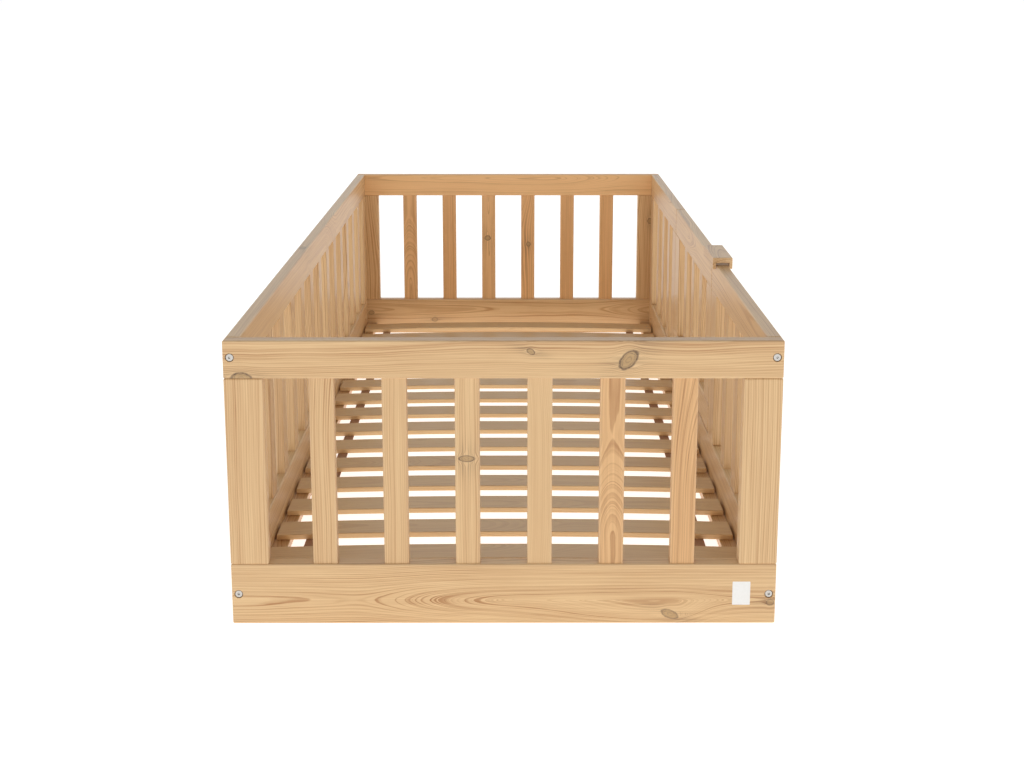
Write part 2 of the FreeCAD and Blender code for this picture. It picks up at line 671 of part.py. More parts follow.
# An arc of this sketch starts at its right end, because it runs anticlockwise over its middle.
bow.addConstraint(Sketcher.Constraint("Coincident", 0, 1, 1, 1))
bow.addConstraint(Sketcher.Constraint("Coincident", 1, 2, 2, 1))
bow.addConstraint(Sketcher.Constraint("Coincident", 2, 2, 3, 1))
bow.addConstraint(Sketcher.Constraint("Coincident", 3, 2, 0, 2))
for (x, y), (edge, end) in zip(lath_ends, ((3, 2), (1, 1), (1, 2), (3, 1))):
    pin_point(bow, edge, end, x, y)
for arc in (0, 2):
    datum = bow.addConstraint(Sketcher.Constraint("Radius", arc, value(LATH_ARC)))
    bow.setExpression(f"Constraints[{datum}]", bound(LATH_ARC))
strip = pad(lath, bow, "lath_width")
round_edges(lath, strip, "lath_round")


def lath_underside(x):
    """Height of the laths' underside at x from the bed's middle line."""
    return f"({LATH_SEAT} + lath_camber - {LATH_ARC} + sqrt({LATH_ARC}^2 - ({x})^2))"


lath_edges = [f"{LATH_START} + {index} * lath_pitch" for index in range(count(LATH_COUNT))]
group("base_laths", [(lath, (f"-{LATH_REACH}", f"{edge} + lath_width", LATH_SEAT), Rotation())
                     for edge in lath_edges])

# The first and the last lath are screwed to the cleats.
lath_screw = screw("lath_screw", "screw_diameter", "screw_head_diameter", "screw_head_height",
                   "lath_screw_length")
SCREW_REACH = f"({LATH_REACH} - lath_screw_inset)"
LATH_SCREW_LEVEL = f"{lath_underside(SCREW_REACH)} + lath_thick - lath_screw_length"
group("lath_screws", [(lath_screw, (f"{hand} * {SCREW_REACH}", f"{edge} + lath_width / 2",
                                    LATH_SCREW_LEVEL), Rotation())
                      for hand in ("-1", "1") for edge in (lath_edges[0], lath_edges[-1])])

# Two webbing straps under the laths keep them apart; a staple holds each crossing.
STRAP_SINK = "(seat_room + strap_thick)"
for hand, turn, start in (("right", 0, f"{LATH_START} + {LATH_SPAN}"), ("left", 180, LATH_START)):
    strap = new_body(f"{hand}_strap")
    section = new_sketch(strap, "XZ_Plane", "webbing")
    outline(section, [(STRAP_INNER, f"{lath_underside(STRAP_INNER)} - {STRAP_SINK}"),
                      (STRAP_OUTER, f"{lath_underside(STRAP_OUTER)} - {STRAP_SINK}"),
                      (STRAP_OUTER, f"{lath_underside(STRAP_OUTER)} - seat_room"),
                      (STRAP_INNER, f"{lath_underside(STRAP_INNER)} - seat_room")])
    pad(strap, section, LATH_SPAN)
    place(strap, ("0", start, "0"), Rotation(UP, turn))
    pieces.append(strap)

crown = doc.addObject("Part::Box", "staple_crown")
bind(crown, Length="staple_wire", Width="staple_width", Height="staple_wire")
staple_legs = []
for name, along in (("near", "0"), ("far", "staple_width - staple_wire")):
    leg = doc.addObject("Part::Box", f"staple_{name}_leg")
    bind(leg, Length="staple_wire", Width="staple_wire", Height="staple_leg + staple_wire")
    place(leg, ("0", along, "0"))
    staple_legs.append(leg)
staple = doc.addObject("Part::MultiFuse", "staple")
staple.Shapes = [crown, *staple_legs]
STRAP_MIDDLE = f"({LATH_REACH} - strap_inset)"
STAPLE_LEVEL = f"{lath_underside(STRAP_MIDDLE)} - {STRAP_SINK} - staple_wire"
group("strap_staples", [(staple, (f"{hand} * {STRAP_MIDDLE} - staple_wire / 2",
                                  f"{edge} + (lath_width - staple_width) / 2", STAPLE_LEVEL),
                         Rotation())
                        for hand in ("-1", "1") for edge in lath_edges])

# --- hinges of the gate ----------------------------------------------------------------------------

# A hinge's own frame has its axis along +Z from the foot of the leaves, +X out of the bed's side and
# +Y towards the frame leaf. The middle knuckle belongs to the gate leaf, the outer two to the frame's.
HINGE_LINE = (f"{TOTAL_WIDTH} / 2 + {HINGE_AXIS}", f"2 * {SECTION} - {INNER_LENGTH} / 2")
HINGE_LEVELS = (f"{GATE_EDGE} + hinge_setback", f"{TOP_EDGE} - hinge_setback - hinge_height")
OUTER_KNUCKLE = "((hinge_height - hinge_middle_height) / 2)"
KNUCKLE_SWEEP = "(hinge_knuckle_radius + hinge_side_room)"
ALONG_X = Rotation(Vector(0, 1, 0), 90)


def rod(name, radius, foot, length):
    """A round rod on the hinge's axis."""
    cylinder = doc.addObject("Part::Cylinder", name)
    bind(cylinder, Radius=radius, Height=length)
    place(cylinder, ("0", "0", foot))
    return cylinder


def hinge_leaf(name, hand, knuckles, gaps):
    """One leaf: a plate with knuckles, cut away where the other leaf's knuckles turn."""
    plate = doc.addObject("Part::Box", f"{name}_plate")
    bind(plate, Length="hinge_leaf_thick", Width="hinge_leaf_width - seam_gap / 2",
         Height="hinge_height")
    place(plate, (f"-{HINGE_AXIS}", "seam_gap / 2" if hand > 0 else "-hinge_leaf_width", "0"))
    notched = plate
    for index, span in enumerate(gaps, start=1):
        notch = doc.addObject("Part::Cut", f"{name}_notch_{index}")
        notch.Base = notched
        notch.Tool = rod(f"{name}_sweep_{index}", KNUCKLE_SWEEP, *span)
        notched = notch
    blank = doc.addObject("Part::MultiFuse", f"{name}_blank")
    blank.Shapes = [notched, *(rod(f"{name}_knuckle_{index}", "hinge_knuckle_radius", *span)
                               for index, span in enumerate(knuckles, start=1))]
    holes = [rod(f"{name}_bore", "hinge_pin_radius + hinge_pin_room", "0", "hinge_height")]
    for index in (-1, 0, 1):
        cone = doc.addObject("Part::Cone", f"{name}_countersink_{index + 2}")
        bind(cone, Radius1="hinge_screw_diameter / 2 + screw_room",
             Radius2="hinge_screw_head / 2 + screw_room", Height="hinge_leaf_thick")
        place(cone, (f"-{HINGE_AXIS}", f"{hand} * hinge_screw_inset",
                     f"hinge_height / 2 + {index} * hinge_screw_pitch"), ALONG_X)
        holes.append(cone)
    bores = doc.addObject("Part::MultiFuse", f"{name}_bores")
    bores.Shapes = holes
    leaf = doc.addObject("Part::Cut", name)
    leaf.Base = blank
    leaf.Tool = bores
    return leaf


frame_leaf = hinge_leaf("frame_leaf", 1,
                        [("0", OUTER_KNUCKLE), (f"hinge_height - {OUTER_KNUCKLE}", OUTER_KNUCKLE)],
                        [(OUTER_KNUCKLE, "hinge_middle_height")])
gate_leaf = hinge_leaf("gate_leaf", -1,
                       [(f"{OUTER_KNUCKLE} + hinge_side_room",
                         "hinge_middle_height - 2 * hinge_side_room")],
                       [("0", f"{OUTER_KNUCKLE} + hinge_side_room"),
                        (f"hinge_height - {OUTER_KNUCKLE} - hinge_side_room",
                         f"{OUTER_KNUCKLE} + hinge_side_room")])
pin = doc.addObject("Part::MultiFuse", "hinge_pin")
pin.Shapes = [rod("pin_shaft", "hinge_pin_radius", "-hinge_pin_cap", "hinge_height + 2 * hinge_pin_cap"),
              rod("pin_foot", "hinge_pin_cap_radius", "-hinge_pin_cap - hinge_pin_room",
                  "hinge_pin_cap"),
              rod("pin_head", "hinge_pin_cap_radius", "hinge_height + hinge_pin_room",
                  "hinge_pin_cap")]
hinge_screw = screw("hinge_screw", "hinge_screw_diameter", "hinge_screw_head", "hinge_leaf_thick",
                    "hinge_screw_length")
SCREW_TIP = f"{TOTAL_WIDTH} / 2 + hinge_leaf_thick - hinge_screw_length"
for name, leaf, hand in (("frame", frame_leaf, 1), ("gate", gate_leaf, -1)):
    group(f"{name}_hinge_leaves", [(leaf, (*HINGE_LINE, level), Rotation())
                                   for level in HINGE_LEVELS])
    screw_row = f"{HINGE_LINE[1]} + {hand} * hinge_screw_inset"
    group(f"{name}_hinge_screws", [
        (hinge_screw, (SCREW_TIP, screw_row,
                       f"{level} + hinge_height / 2 + {index} * hinge_screw_pitch"), ALONG_X)
        for level in HINGE_LEVELS for index in (-1, 0, 1)])
group("hinge_pins", [(pin, (*HINGE_LINE, level), Rotation()) for level in HINGE_LEVELS])

# --- latch -----------------------------------------------------------------------------------------

# The latch is a wooden cap, milled to an upturned U, that straddles the seam between the near
# section's top rail and the gate's. It slides towards the near end to free the gate, on a felt glide.
LATCH_SEAM = f"{SECTION} - {INNER_LENGTH} / 2"
RAIL_MIDDLE = f"{INNER_WIDTH} / 2 + {BOARD_MIDDLE}"
cap = new_body("latch_cap")
cap_section = new_sketch(cap, "XZ_Plane", "block")
rectangle(cap_section, "0", "0", "latch_width", LATCH_HEIGHT)
block = pad(cap, cap_section, "latch_length")
round_edges(cap, block, "latch_round")
slot_section = new_sketch(cap, "XZ_Plane", "slot")
rectangle(slot_section, "((latch_width - latch_slot) / 2)", "0", "latch_slot",
          f"({LATCH_HEIGHT} - latch_board)")
pocket(cap, slot_section, "latch_length", flipped=True)
place(cap, (f"{RAIL_MIDDLE} - latch_width / 2", f"{LATCH_SEAM} + latch_length / 2",
            f"{TOTAL_HEIGHT} - latch_overhang"))
pieces.append(cap)

glide = doc.addObject("Part::Box", "latch_glide")
bind(glide, Length="latch_slot - 2 * glide_side_room", Width="latch_length - 2 * glide_setback",
     Height="glide_thick")
place(glide, (f"{RAIL_MIDDLE} - latch_slot / 2 + glide_side_room",
              f"{LATCH_SEAM} - latch_length / 2 + glide_setback", f"{TOTAL_HEIGHT} + glide_room"))
pieces.append(glide)

# --- check and write -------------------------------------------------------------------------------

doc.recompute()
for item in doc.Objects:
    if "Invalid" in item.State or "Error" in item.State:
        raise RuntimeError(f"{item.Label} could not be made")
    if item.TypeId == "PartDesign::Pocket":
        before = item.BaseFeature.Shape.Volume
        if item.Shape.Volume > before - 1:
            raise RuntimeError(f"{item.Label} cuts nothing")
for piece in pieces:
    if piece.Shape.isNull() or not piece.Shape.isValid():
        raise RuntimeError(f"{piece.Label} has no sound shape")

os.makedirs("parts", exist_ok=True)
for piece in pieces:
    piece.Shape.exportStep(f"parts/{piece.Label}.step")
print(f"{len(pieces)} nodes, {sum(len(piece.Shape.Solids) for piece in pieces)} solids")
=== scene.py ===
from collections import namedtuple
import math
import bpy
import numpy as np
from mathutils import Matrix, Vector


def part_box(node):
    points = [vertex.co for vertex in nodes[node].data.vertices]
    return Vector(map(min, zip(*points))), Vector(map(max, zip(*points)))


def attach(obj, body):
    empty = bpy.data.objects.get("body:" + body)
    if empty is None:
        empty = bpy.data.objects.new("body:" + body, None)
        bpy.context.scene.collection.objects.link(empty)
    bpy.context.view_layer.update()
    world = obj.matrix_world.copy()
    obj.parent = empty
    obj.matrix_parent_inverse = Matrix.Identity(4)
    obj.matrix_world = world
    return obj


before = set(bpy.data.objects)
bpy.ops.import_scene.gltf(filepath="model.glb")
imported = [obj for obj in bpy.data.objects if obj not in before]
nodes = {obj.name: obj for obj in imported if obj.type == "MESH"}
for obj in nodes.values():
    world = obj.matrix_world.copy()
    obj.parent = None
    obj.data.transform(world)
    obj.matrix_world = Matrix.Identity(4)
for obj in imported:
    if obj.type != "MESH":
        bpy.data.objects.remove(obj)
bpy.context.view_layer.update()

# --- end panels: rails -----------------------------------------------------------------------------
# Each end panel is closed by a rail over and a rail under its posts: planed pine boards 22 mm thick,
# oiled, with rounded edges. Bolts run through the rails into the long sides. Growth rings and knots go
# right through a board, so that its faces, edges and ends agree.

EARLY_WOOD = (0.670, 0.425, 0.202)
LATE_WOOD = (0.440, 0.205, 0.064)
RUBBED_WOOD = (0.760, 0.560, 0.340)
KNOT_WOOD = (0.450, 0.275, 0.110)
KNOT_LINE = (0.115, 0.058, 0.022)
WARMER = (0.1, -0.25, -0.6)  # the share that warm=1 adds to the red, green and blue of early wood
DARKEST, LIGHTEST = 1.35, -0.80  # how far a shade may go past late wood (1) and early wood (0)
OIL_COAT, OIL_COAT_ROUGH = 0.55, 0.30
PINE_ROUGH = 0.50
GRAIN_BUMP = (0.22, 0.0006)
RUB_REACH = 0.004  # how far in from a rounded edge the oil is rubbed thin
RUB_STRENGTH = 0.30

RING_WIDTH = 0.0032
RING_UNEVEN, RING_UNEVEN_SCALE = 1.5, 130.0  # by how many rings they crowd or spread, and how often
RING_WEAKEST = 0.35  # how dark the palest ring's late wood is, to the darkest's
LATE_BAND = (0.32, 0.86, 0.90, 1.0)  # where in a ring late wood begins, is full, starts to end, ends

KNOT_CLOSING = 0.85  # how soon the grain closes again beyond a knot
KNOT_RAGGED, KNOT_RAGGED_SCALE = 0.16, 110.0
KNOT_HAIRY = 0.12
RIM_BAND = (0.74, 0.94, 1.0, 1.18)  # the bark rim of a knot of radius 1, as LATE_BAND
HEART_EDGE = (0.86, 1.02)  # where the heart of such a knot gives way to the wood around it
HEART_RINGS = 2.7
HALO_LENGTH, HALO_LONGER, HALO_WIDER = 0.018, 2.2, 1.7  # a halo, to its knot's length and width
SWIRL_RIGHT, SWIRL_LEFT, SWIRL_WIDE = 0.060, 0.20, 0.034  # how far from its knot a swirl reaches

# How often each kind of unevenness repeats in a metre: along, across and through the board.
FIBRES = (14.0, 1000.0, 1000.0)
HAIRS = (7.0, 330.0, 330.0)
STREAKS = (1.6, 85.0, 85.0)
CLOUDS = (4.0, 14.0, 14.0)
PATCHES = (6.0, 26.0, 26.0)
RIPPLES, RIPPLE_DEPTH = (12.0, 70.0, 70.0), 0.0007
PITH_SWAYS = (3.0, 9.0, 9.0)
PITH_DIPS, PITH_DIP_DEPTH = (2.6, 6.0, 6.0), 0.004
BLOTCHES = 320.0

# How far the pith lies from one board of a row to the next, and where along them it bends.
ROW_ASIDE, ROW_BELOW, ROW_BEND = 0.05, 0.02, 0.05
ROW_BEND_PLACE, ROW_BEND_REACH = 0.4, 0.10

# How much each of them darkens the wood, where 1 is the step from early to late wood.
LATE_SHADE, HAIR_SHADE, FIBRE_SHADE, STREAK_SHADE, CLOUD_SHADE = 1.25, 0.50, 0.12, 0.22, 0.16
BOARD_SHADE = 0.22
BASE_SHADE = -0.24

draw = np.random.default_rng(41)


def pick(low, high):
    """A number between the two. The order of these calls is fixed, so each run draws the same."""
    return float(draw.uniform(low, high))


# A knot lies at along and across from its board's middle, on its face or its edge, with its half
# length, half width and darkness from 0 to 1. tilt turns its ellipse. swirl, in metres, sinks the
# growth rings beside it, which closes them into long arcs.
Knot = namedtuple("Knot", "along across length width dark tilt swirl way",
                  defaults=(0.8, 0.0, 0.0, "face"))

# The wires of one board: its own three coordinates from its middle, the same as one vector that is
# moved by the seed, its finest lines, and for a row of boards three chances of each board's own.
Grain = namedtuple("Grain", "along across through spot fibre hair seed luck")


class Wire:
    """A socket of a material's node tree. Arithmetic on it adds Math nodes to that tree."""

    def __init__(self, socket):
        self.socket = socket
        self.tree = socket.id_data

    def node(self, kind, settings=None, inputs=None, output=0):
        """Add any other node: its kind, its settings, then the values or links of its sockets."""
        made = self.tree.nodes.new(kind)
        for name, setting in (settings or {}).items():
            setattr(made, name, setting)
        for key, given in (inputs or {}).items():
            if isinstance(given, Wire):
                self.tree.links.new(given.socket, made.inputs[key])
            else:
                made.inputs[key].default_value = given
        return Wire(made.outputs[output])

    def math(self, operation, *values):
        return self.node("ShaderNodeMath", {"operation": operation}, dict(enumerate((self, *values))))

    def __add__(self, other):
        return self.math("ADD", other)

    __radd__ = __add__

    def __sub__(self, other):
        return self.math("SUBTRACT", other)

    def __rsub__(self, other):
        return self * -1.0 + other

    def __mul__(self, other):
        return self.math("MULTIPLY", other)

    __rmul__ = __mul__

    def __truediv__(self, other):
        return self.math("DIVIDE", other)

    def __pow__(self, power):
        return self.math("POWER", power)

    def __abs__(self):
        return self.math("ABSOLUTE")

    def fade(self):
        """1 where this is 0, and less as it grows: exp(-this)."""
        return (self * -1.0).math("EXPONENT")

    def smooth(self, low, high):
        """0 below low, 1 above high, with an eased slope between."""
        given = {"Value": self, "From Min": low, "From Max": high}
        return self.node("ShaderNodeMapRange", {"interpolation_type": "SMOOTHSTEP"}, given)

    def band(self, begin, full, ending, end):
        """0 up to begin, 1 from full to ending, 0 again from end, with eased slopes between."""
        return self.smooth(begin, full) * (1.0 - self.smooth(ending, end))

    def blend(self, first, second, **settings):
        """The first colour where this is 0, the second where it is 1."""
        pair = [(*given, 1.0) if isinstance(given, tuple) else given for given in (first, second)]
        settings = {"data_type": "RGBA", **settings}
        return self.node("ShaderNodeMix", settings, {0: self, 6: pair[0], 7: pair[1]}, 2)

    def stretched(self, *scales):
        """A vector wire scaled by three factors."""
        return self.node("ShaderNodeVectorMath", {"operation": "MULTIPLY"}, {0: self, 1: scales})

    def noise(self, scale=1.0, detail=2.0, roughness=0.5):
        """Smooth noise about 0, from about -1 to 1."""
        given = {"Vector": self, "Scale": scale, "Detail": detail, "Roughness": roughness}
        return self.node("ShaderNodeTexNoise", {}, given) * 2.0 - 1.0

    def bump(self, strength, distance):
        """A normal that is raised where this is high."""
        given = {"Strength": strength, "Distance": distance, "Height": self}
        return self.node("ShaderNodeBump", {}, given)

    def chance(self):
        """A random number for each whole number on the wire."""
        return self.node("ShaderNodeTexWhiteNoise", {"noise_dimensions": "1D"}, {"W": self})


def new_material(name):
    """A material with its shader node, and a wire of its object's own coordinates."""
    material = bpy.data.materials.new(name)
    material.use_nodes = True
    tree = material.node_tree
    shader = tree.nodes["Principled BSDF"]
    place = tree.nodes.new("ShaderNodeTexCoord")
    return material, shader, Wire(place.outputs["Object"])


def feed(shader, name, wire):
    wire.tree.links.new(wire.socket, shader.inputs[name])


def dress(node, material):
    """Give a CAD node its material."""
    slots = nodes[node].data.materials
    slots.clear()
    slots.append(material)


def board_grain(here, axes, centre, row, seed):
    """Turn an object's coordinates into its board's own, and lay the finest lines along it.

    In a row of boards, across is (steps - whole steps - 1/2) * pitch, where steps counts the pitches
    from the row's start. The whole steps are the board's number, which moves its seed and gives luck.
    """
    parts = here.node("ShaderNodeSeparateXYZ", {}, {0: here}).socket.node
    along, across, through = (Wire(parts.outputs[axis]) - centre[axis] for axis in axes)
    luck = None
    if row:
        start, pitch = row
        steps = (Wire(parts.outputs[axes[1]]) - start) / pitch
        index = steps.math("FLOOR")
        across = (steps - index - 0.5) * pitch
        luck = [(index + seed + step).chance() - 0.5 for step in (0.1, 0.3, 0.6)]
        seed = index * 3.7 + seed
    spot = along.node("ShaderNodeCombineXYZ", {}, {0: along + seed, 1: across + seed, 2: through})
    fibre = spot.stretched(*FIBRES).noise(1.0, 3.0, 0.6)
    hair = spot.stretched(*HAIRS).noise(1.0, 3.0, 0.6)
    return Grain(along, across, through, spot, fibre, hair, seed, luck)


def part_at_knots(grain, knots):
    """Lead the grain round each knot, and measure the knot for paint_knots.

    Beside a knot, the grain at height b is what would lie at sqrt(b² - swell) without it, and swell is
    half width² * exp(-(closing * a / half length)²), a being the way along from the knot's middle. The
    knot's radius is 1 on its ellipse. Its halo and its swirl are exp(-(a / reach)² - (b / reach)²).
    """
    flow = {"face": grain.across, "edge": grain.through}
    sink = 0.0
    marks = []
    for knot in knots:
        ahead = grain.along - knot.along
        beside = flow[knot.way] - knot.across
        swell = ((ahead / knot.length * KNOT_CLOSING) ** 2.0).fade() * (knot.width * knot.width)
        inner = (beside * beside - swell).math("MAXIMUM", 0.0).math("SQRT")
        flow[knot.way] = beside.math("SIGN") * inner + knot.across
        tilted = beside + ahead * knot.tilt
        radius = ((ahead / knot.length) ** 2.0 + (tilted / knot.width) ** 2.0).math("SQRT")
        ragged = radius + grain.spot.noise(KNOT_RAGGED_SCALE) * KNOT_RAGGED + grain.hair * KNOT_HAIRY
        halo_length = HALO_LENGTH + knot.length * HALO_LONGER
        halo_width = knot.width * HALO_WIDER
        halo = ((ahead / halo_length) ** 2.0 + (tilted / halo_width) ** 2.0).fade()
        marks.append((ragged, halo, knot.dark))
        if knot.swirl:
            reach = ahead.math("MAXIMUM", ahead * (-SWIRL_RIGHT / SWIRL_LEFT)) / SWIRL_RIGHT
            sink = (reach ** 2.0 + (beside / SWIRL_WIDE) ** 2.0).fade() * knot.swirl + sink
    return flow, sink, marks


def late_wood(grain, flow, sink, pith, rise, lean, wave, ring):
    """How much late wood lies at each spot, from 0 to about 1.

    The growth rings are cylinders round the pith: their radius is sqrt(beside² + below²), less what
    the knots sink it. The pith sways and dips along the board, leans, and bends between rise's two
    ends; in a row, luck places it anew for each board. radius / ring counts the rings, and LATE_BAND
    places the late wood in each.
    """
    along, spot, luck = grain.along, grain.spot, grain.luck
    bend = along.smooth(rise[0], rise[1]) * rise[2]
    sway = spot.stretched(*PITH_SWAYS).noise() * wave
    dip = spot.stretched(*PITH_DIPS).noise() * PITH_DIP_DEPTH
    beside = flow["face"] - pith[0] + sway
    below = flow["edge"] - pith[1] + bend + along * lean + dip
    if luck:
        turn = (along + luck[2] * ROW_BEND_PLACE).smooth(-ROW_BEND_REACH, ROW_BEND_REACH)
        beside = beside + luck[0] * ROW_ASIDE
        below = below + turn * luck[1] * ROW_BEND + luck[1] * ROW_BELOW
    radius = (beside * beside + below * below).math("SQRT")
    radius = radius + spot.stretched(*RIPPLES).noise() * RIPPLE_DEPTH - sink
    years = radius * RING_UNEVEN_SCALE + grain.seed
    uneven = years.node("ShaderNodeTexNoise", {"noise_dimensions": "1D"}, {"W": years})
    rings = radius / ring + uneven * RING_UNEVEN
    strong = RING_WEAKEST + (1 - RING_WEAKEST) * rings.math("FLOOR").chance()
    late = rings.math("FRACT").band(*LATE_BAND) * strong
    return late * (0.80 + 0.60 * spot.stretched(*PATCHES).noise())


def paint_knots(grain, body, late, marks):
    """Draw each knot: dark lines gather in its halo, its heart has rings of its own, bark rims it."""
    for radius, halo, dark in marks:
        blotch = grain.spot.noise(BLOTCHES).smooth(-0.5, 0.5)
        gathered = grain.hair.smooth(-0.2, 0.4) * 0.45 + late * 0.55
        body = (halo * gathered * dark).blend(body, KNOT_LINE)
        lines = (radius * HEART_RINGS + grain.hair * 0.25).math("FRACT").smooth(0.55, 1.0)
        heart = (lines * (0.25 + 0.6 * blotch)).blend(KNOT_WOOD, KNOT_LINE)
        body = ((1.0 - radius.smooth(*HEART_EDGE)) * (0.35 + 0.5 * dark)).blend(body, heart)
        rim = radius.band(*RIM_BAND) * (0.60 + 0.40 * blotch)
        body = (rim * dark).blend(body, KNOT_LINE)
    return body


def pine(name, axes, centre, pith=(0.0, -0.05), rise=(0.0, 0.1, 0.0), lean=0.01, wave=0.007, tone=0.0,
         warm=0.0, contrast=1.0, ring=RING_WIDTH, knots=(), half=None, row=None):
    """Oiled pine, cut from a log whose growth rings are cylinders round a wandering pith.

    axes are the board's length, width and thickness among X, Y and Z; centre is its middle. pith is
    where the log's middle lies from the board's, in its width and thickness. rise says from where
    to where along the board the pith comes nearer to the face, and by how much, which draws the
    rings out into pointed arches there. half is half of its width and thickness, for rubbed edges.
    row is the start and the pitch of boards that share a node.
    """
    material, shader, here = new_material(name)
    grain = board_grain(here, axes, centre, row, pick(0, 90))
    flow, sink, marks = part_at_knots(grain, knots)
    late = late_wood(grain, flow, sink, pith, rise, lean, wave, ring)

    streak = grain.spot.stretched(*STREAKS).noise()
    cloud = grain.spot.stretched(*CLOUDS).noise(1.0, 3.0)
    shade = late * (LATE_SHADE * contrast) + grain.hair * (HAIR_SHADE * contrast)
    shade = shade + grain.fibre * FIBRE_SHADE + streak * STREAK_SHADE
    shade = shade + cloud * CLOUD_SHADE + (tone + BASE_SHADE * contrast)
    if row:
        shade = shade + grain.luck[2] * BOARD_SHADE
    shade = shade.math("MAXIMUM", LIGHTEST).math("MINIMUM", DARKEST)
    early = tuple(value * (1 + warm * share) for value, share in zip(EARLY_WOOD, WARMER))
    body = paint_knots(grain, shade.blend(early, LATE_WOOD, clamp_factor=False), late, marks)
    if half:
        rub = abs(grain.across).smooth(half[0] - RUB_REACH, half[0])
        rub = rub * abs(grain.through).smooth(half[1] - RUB_REACH, half[1])
        body = (rub * RUB_STRENGTH).blend(body, RUBBED_WOOD)

    feed(shader, "Base Color", body)
    feed(shader, "Roughness", PINE_ROUGH - late * 0.07 + grain.fibre * 0.05)
    feed(shader, "Normal", (late * -0.5 + grain.fibre * 0.35).bump(*GRAIN_BUMP))
    shader.inputs["Coat Weight"].default_value = OIL_COAT
    shader.inputs["Coat Roughness"].default_value = OIL_COAT_ROUGH
    return material


# Which way a board lies: the axes of its length, width and thickness.
X, Y, Z = 0, 1, 2
LEVEL_X = (X, Z, Y)
LEVEL_Y = (Y, Z, X)
FLAT_X = (X, Y, Z)
FLAT_Y = (Y, X, Z)
UPRIGHT_X = (Z, X, Y)
UPRIGHT_Y = (Z, Y, X)


def pine_board(node, axes, **cut):
    """Finish one board of the bed with pine of its own. What cut leaves open is drawn by chance."""
    low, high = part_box(node)
    centre = tuple((low + high) / 2)
    half = tuple((high[axis] - low[axis]) / 2 for axis in axes[1:])
    begin = pick(-1.0, 0.6) * (high[axes[0]] - low[axes[0]]) / 2
    chances = dict(
        pith=(pick(-0.05, 0.05), pick(-0.07, -0.025)),
        rise=(begin, begin + pick(0.15, 0.4), pick(-0.03, 0.03)),
        lean=pick(-0.02, 0.02),
        tone=pick(-0.06, 0.08),
        ring=RING_WIDTH * pick(0.8, 1.2),
    )
    dress(node, pine(f"pine_{node}", axes, centre, half=half, **{**chances, **cut}))


pine_board("near_top_rail", LEVEL_X, pith=(0.060, -0.030), rise=(-0.4, 0.1, 0.012), wave=0.012, tone=0.06,
           knots=(Knot(0.042, 0.013, 0.0060, 0.0044, 1.0, tilt=0.3),
                  Knot(0.191, 0.000, 0.0140, 0.0130, 1.0, tilt=-0.5),
                  Knot(-0.401, -0.030, 0.0160, 0.0095, 1.0)))
pine_board("near_bottom_rail", LEVEL_X, pith=(-0.0105, -0.0430), rise=(-0.25, 0.08, -0.035), lean=0.018,
           wave=0.003, ring=0.0027, contrast=1.2, tone=0.02,
           knots=(Knot(0.262, -0.034, 0.0130, 0.0070, 0.7, tilt=0.3, swirl=0.030),
                  Knot(0.420, -0.014, 0.0060, 0.0050, 0.8)))
# The far top rail's pale, warm tone is painted light: it stands in for light that reaches the far panel
# and for warm light bounced inside the bed.
pine_board("far_top_rail", LEVEL_X, pith=(0.02, -0.03), tone=-0.72, warm=0.3, contrast=1.2)
pine_board("far_bottom_rail", LEVEL_X, pith=(0.02, -0.045), tone=0.06,
           knots=(Knot(-0.395, 0.010, 0.008, 0.006, 0.8), Knot(-0.212, -0.010, 0.008, 0.006, 0.7)))

# --- end panels: posts -----------------------------------------------------------------------------
# Each panel stands on two upright pine boards, as thick as the rails and flush with their ends.
# They are dowelled into both rails.

pine_board("near_left_post", UPRIGHT_X, pith=(0.09, 0.01), wave=0.004, tone=0.09)
pine_board("near_right_post", UPRIGHT_X, pith=(-0.10, 0.02), wave=0.003, tone=0.0)
pine_board("far_left_post", UPRIGHT_X, tone=0.05)
pine_board("far_right_post", UPRIGHT_X, tone=0.05, knots=(Knot(0.078, 0.005, 0.008, 0.006, 0.9),))

# --- end panels: slats -----------------------------------------------------------------------------
# Six thinner pine slats fill each panel, each ripped from another board, so that no two match.
# Short tenons at both ends stand in the rails.

NEAR_SLATS = (
    dict(pith=(0.05, 0.005), tone=0.12),
    dict(pith=(-0.06, 0.01), tone=0.0, contrast=0.7),
    dict(pith=(0.07, 0.01), tone=0.02, knots=(Knot(0.022, -0.001, 0.005, 0.012, 0.9),)),
    dict(pith=(0.12, 0.06), tone=-0.07, contrast=0.4),
    dict(pith=(0.002, -0.030), rise=(-0.11, 0.06, 0.026), lean=0.0, tone=0.08, warm=0.25, ring=0.0036),
    dict(pith=(0.04, -0.02), tone=0.14, warm=0.3),
)
# The far slats' pale, warm tones are partly painted light, for the warm light bounced inside the bed; the
# rest is each board's own tone.
FAR_SLATS = (
    dict(pith=(0.09, 0.0), tone=-0.04, warm=0.4),
    dict(pith=(-0.08, 0.01), tone=0.0, warm=0.4),
    dict(tone=-0.08, warm=0.4, knots=(Knot(0.010, 0.002, 0.006, 0.006, 0.9),)),
    dict(pith=(0.0, -0.015), tone=-0.08, warm=0.3, knots=(Knot(0.028, -0.003, 0.007, 0.008, 0.9),)),
    dict(pith=(0.07, -0.01), tone=-0.02, warm=0.4),
    dict(pith=(0.0, -0.03), rise=(-0.1, 0.1, 0.024), tone=-0.10, warm=0.3),
)
for side, cuts in (("near", NEAR_SLATS), ("far", FAR_SLATS)):
    for number, cut in enumerate(cuts, start=1):
        pine_board(f"{side}_slat_{number}", UPRIGHT_X, **cut)

# --- left side frame -------------------------------------------------------------------------------
# One long frame stands between the end panels: two rails and two stiles of the same pine boards,
# dowelled together, with thirteen slats tenoned in at the panels' own pitch.

SLAT_WIDTH = 0.0385
SLAT_PITCH = 0.112


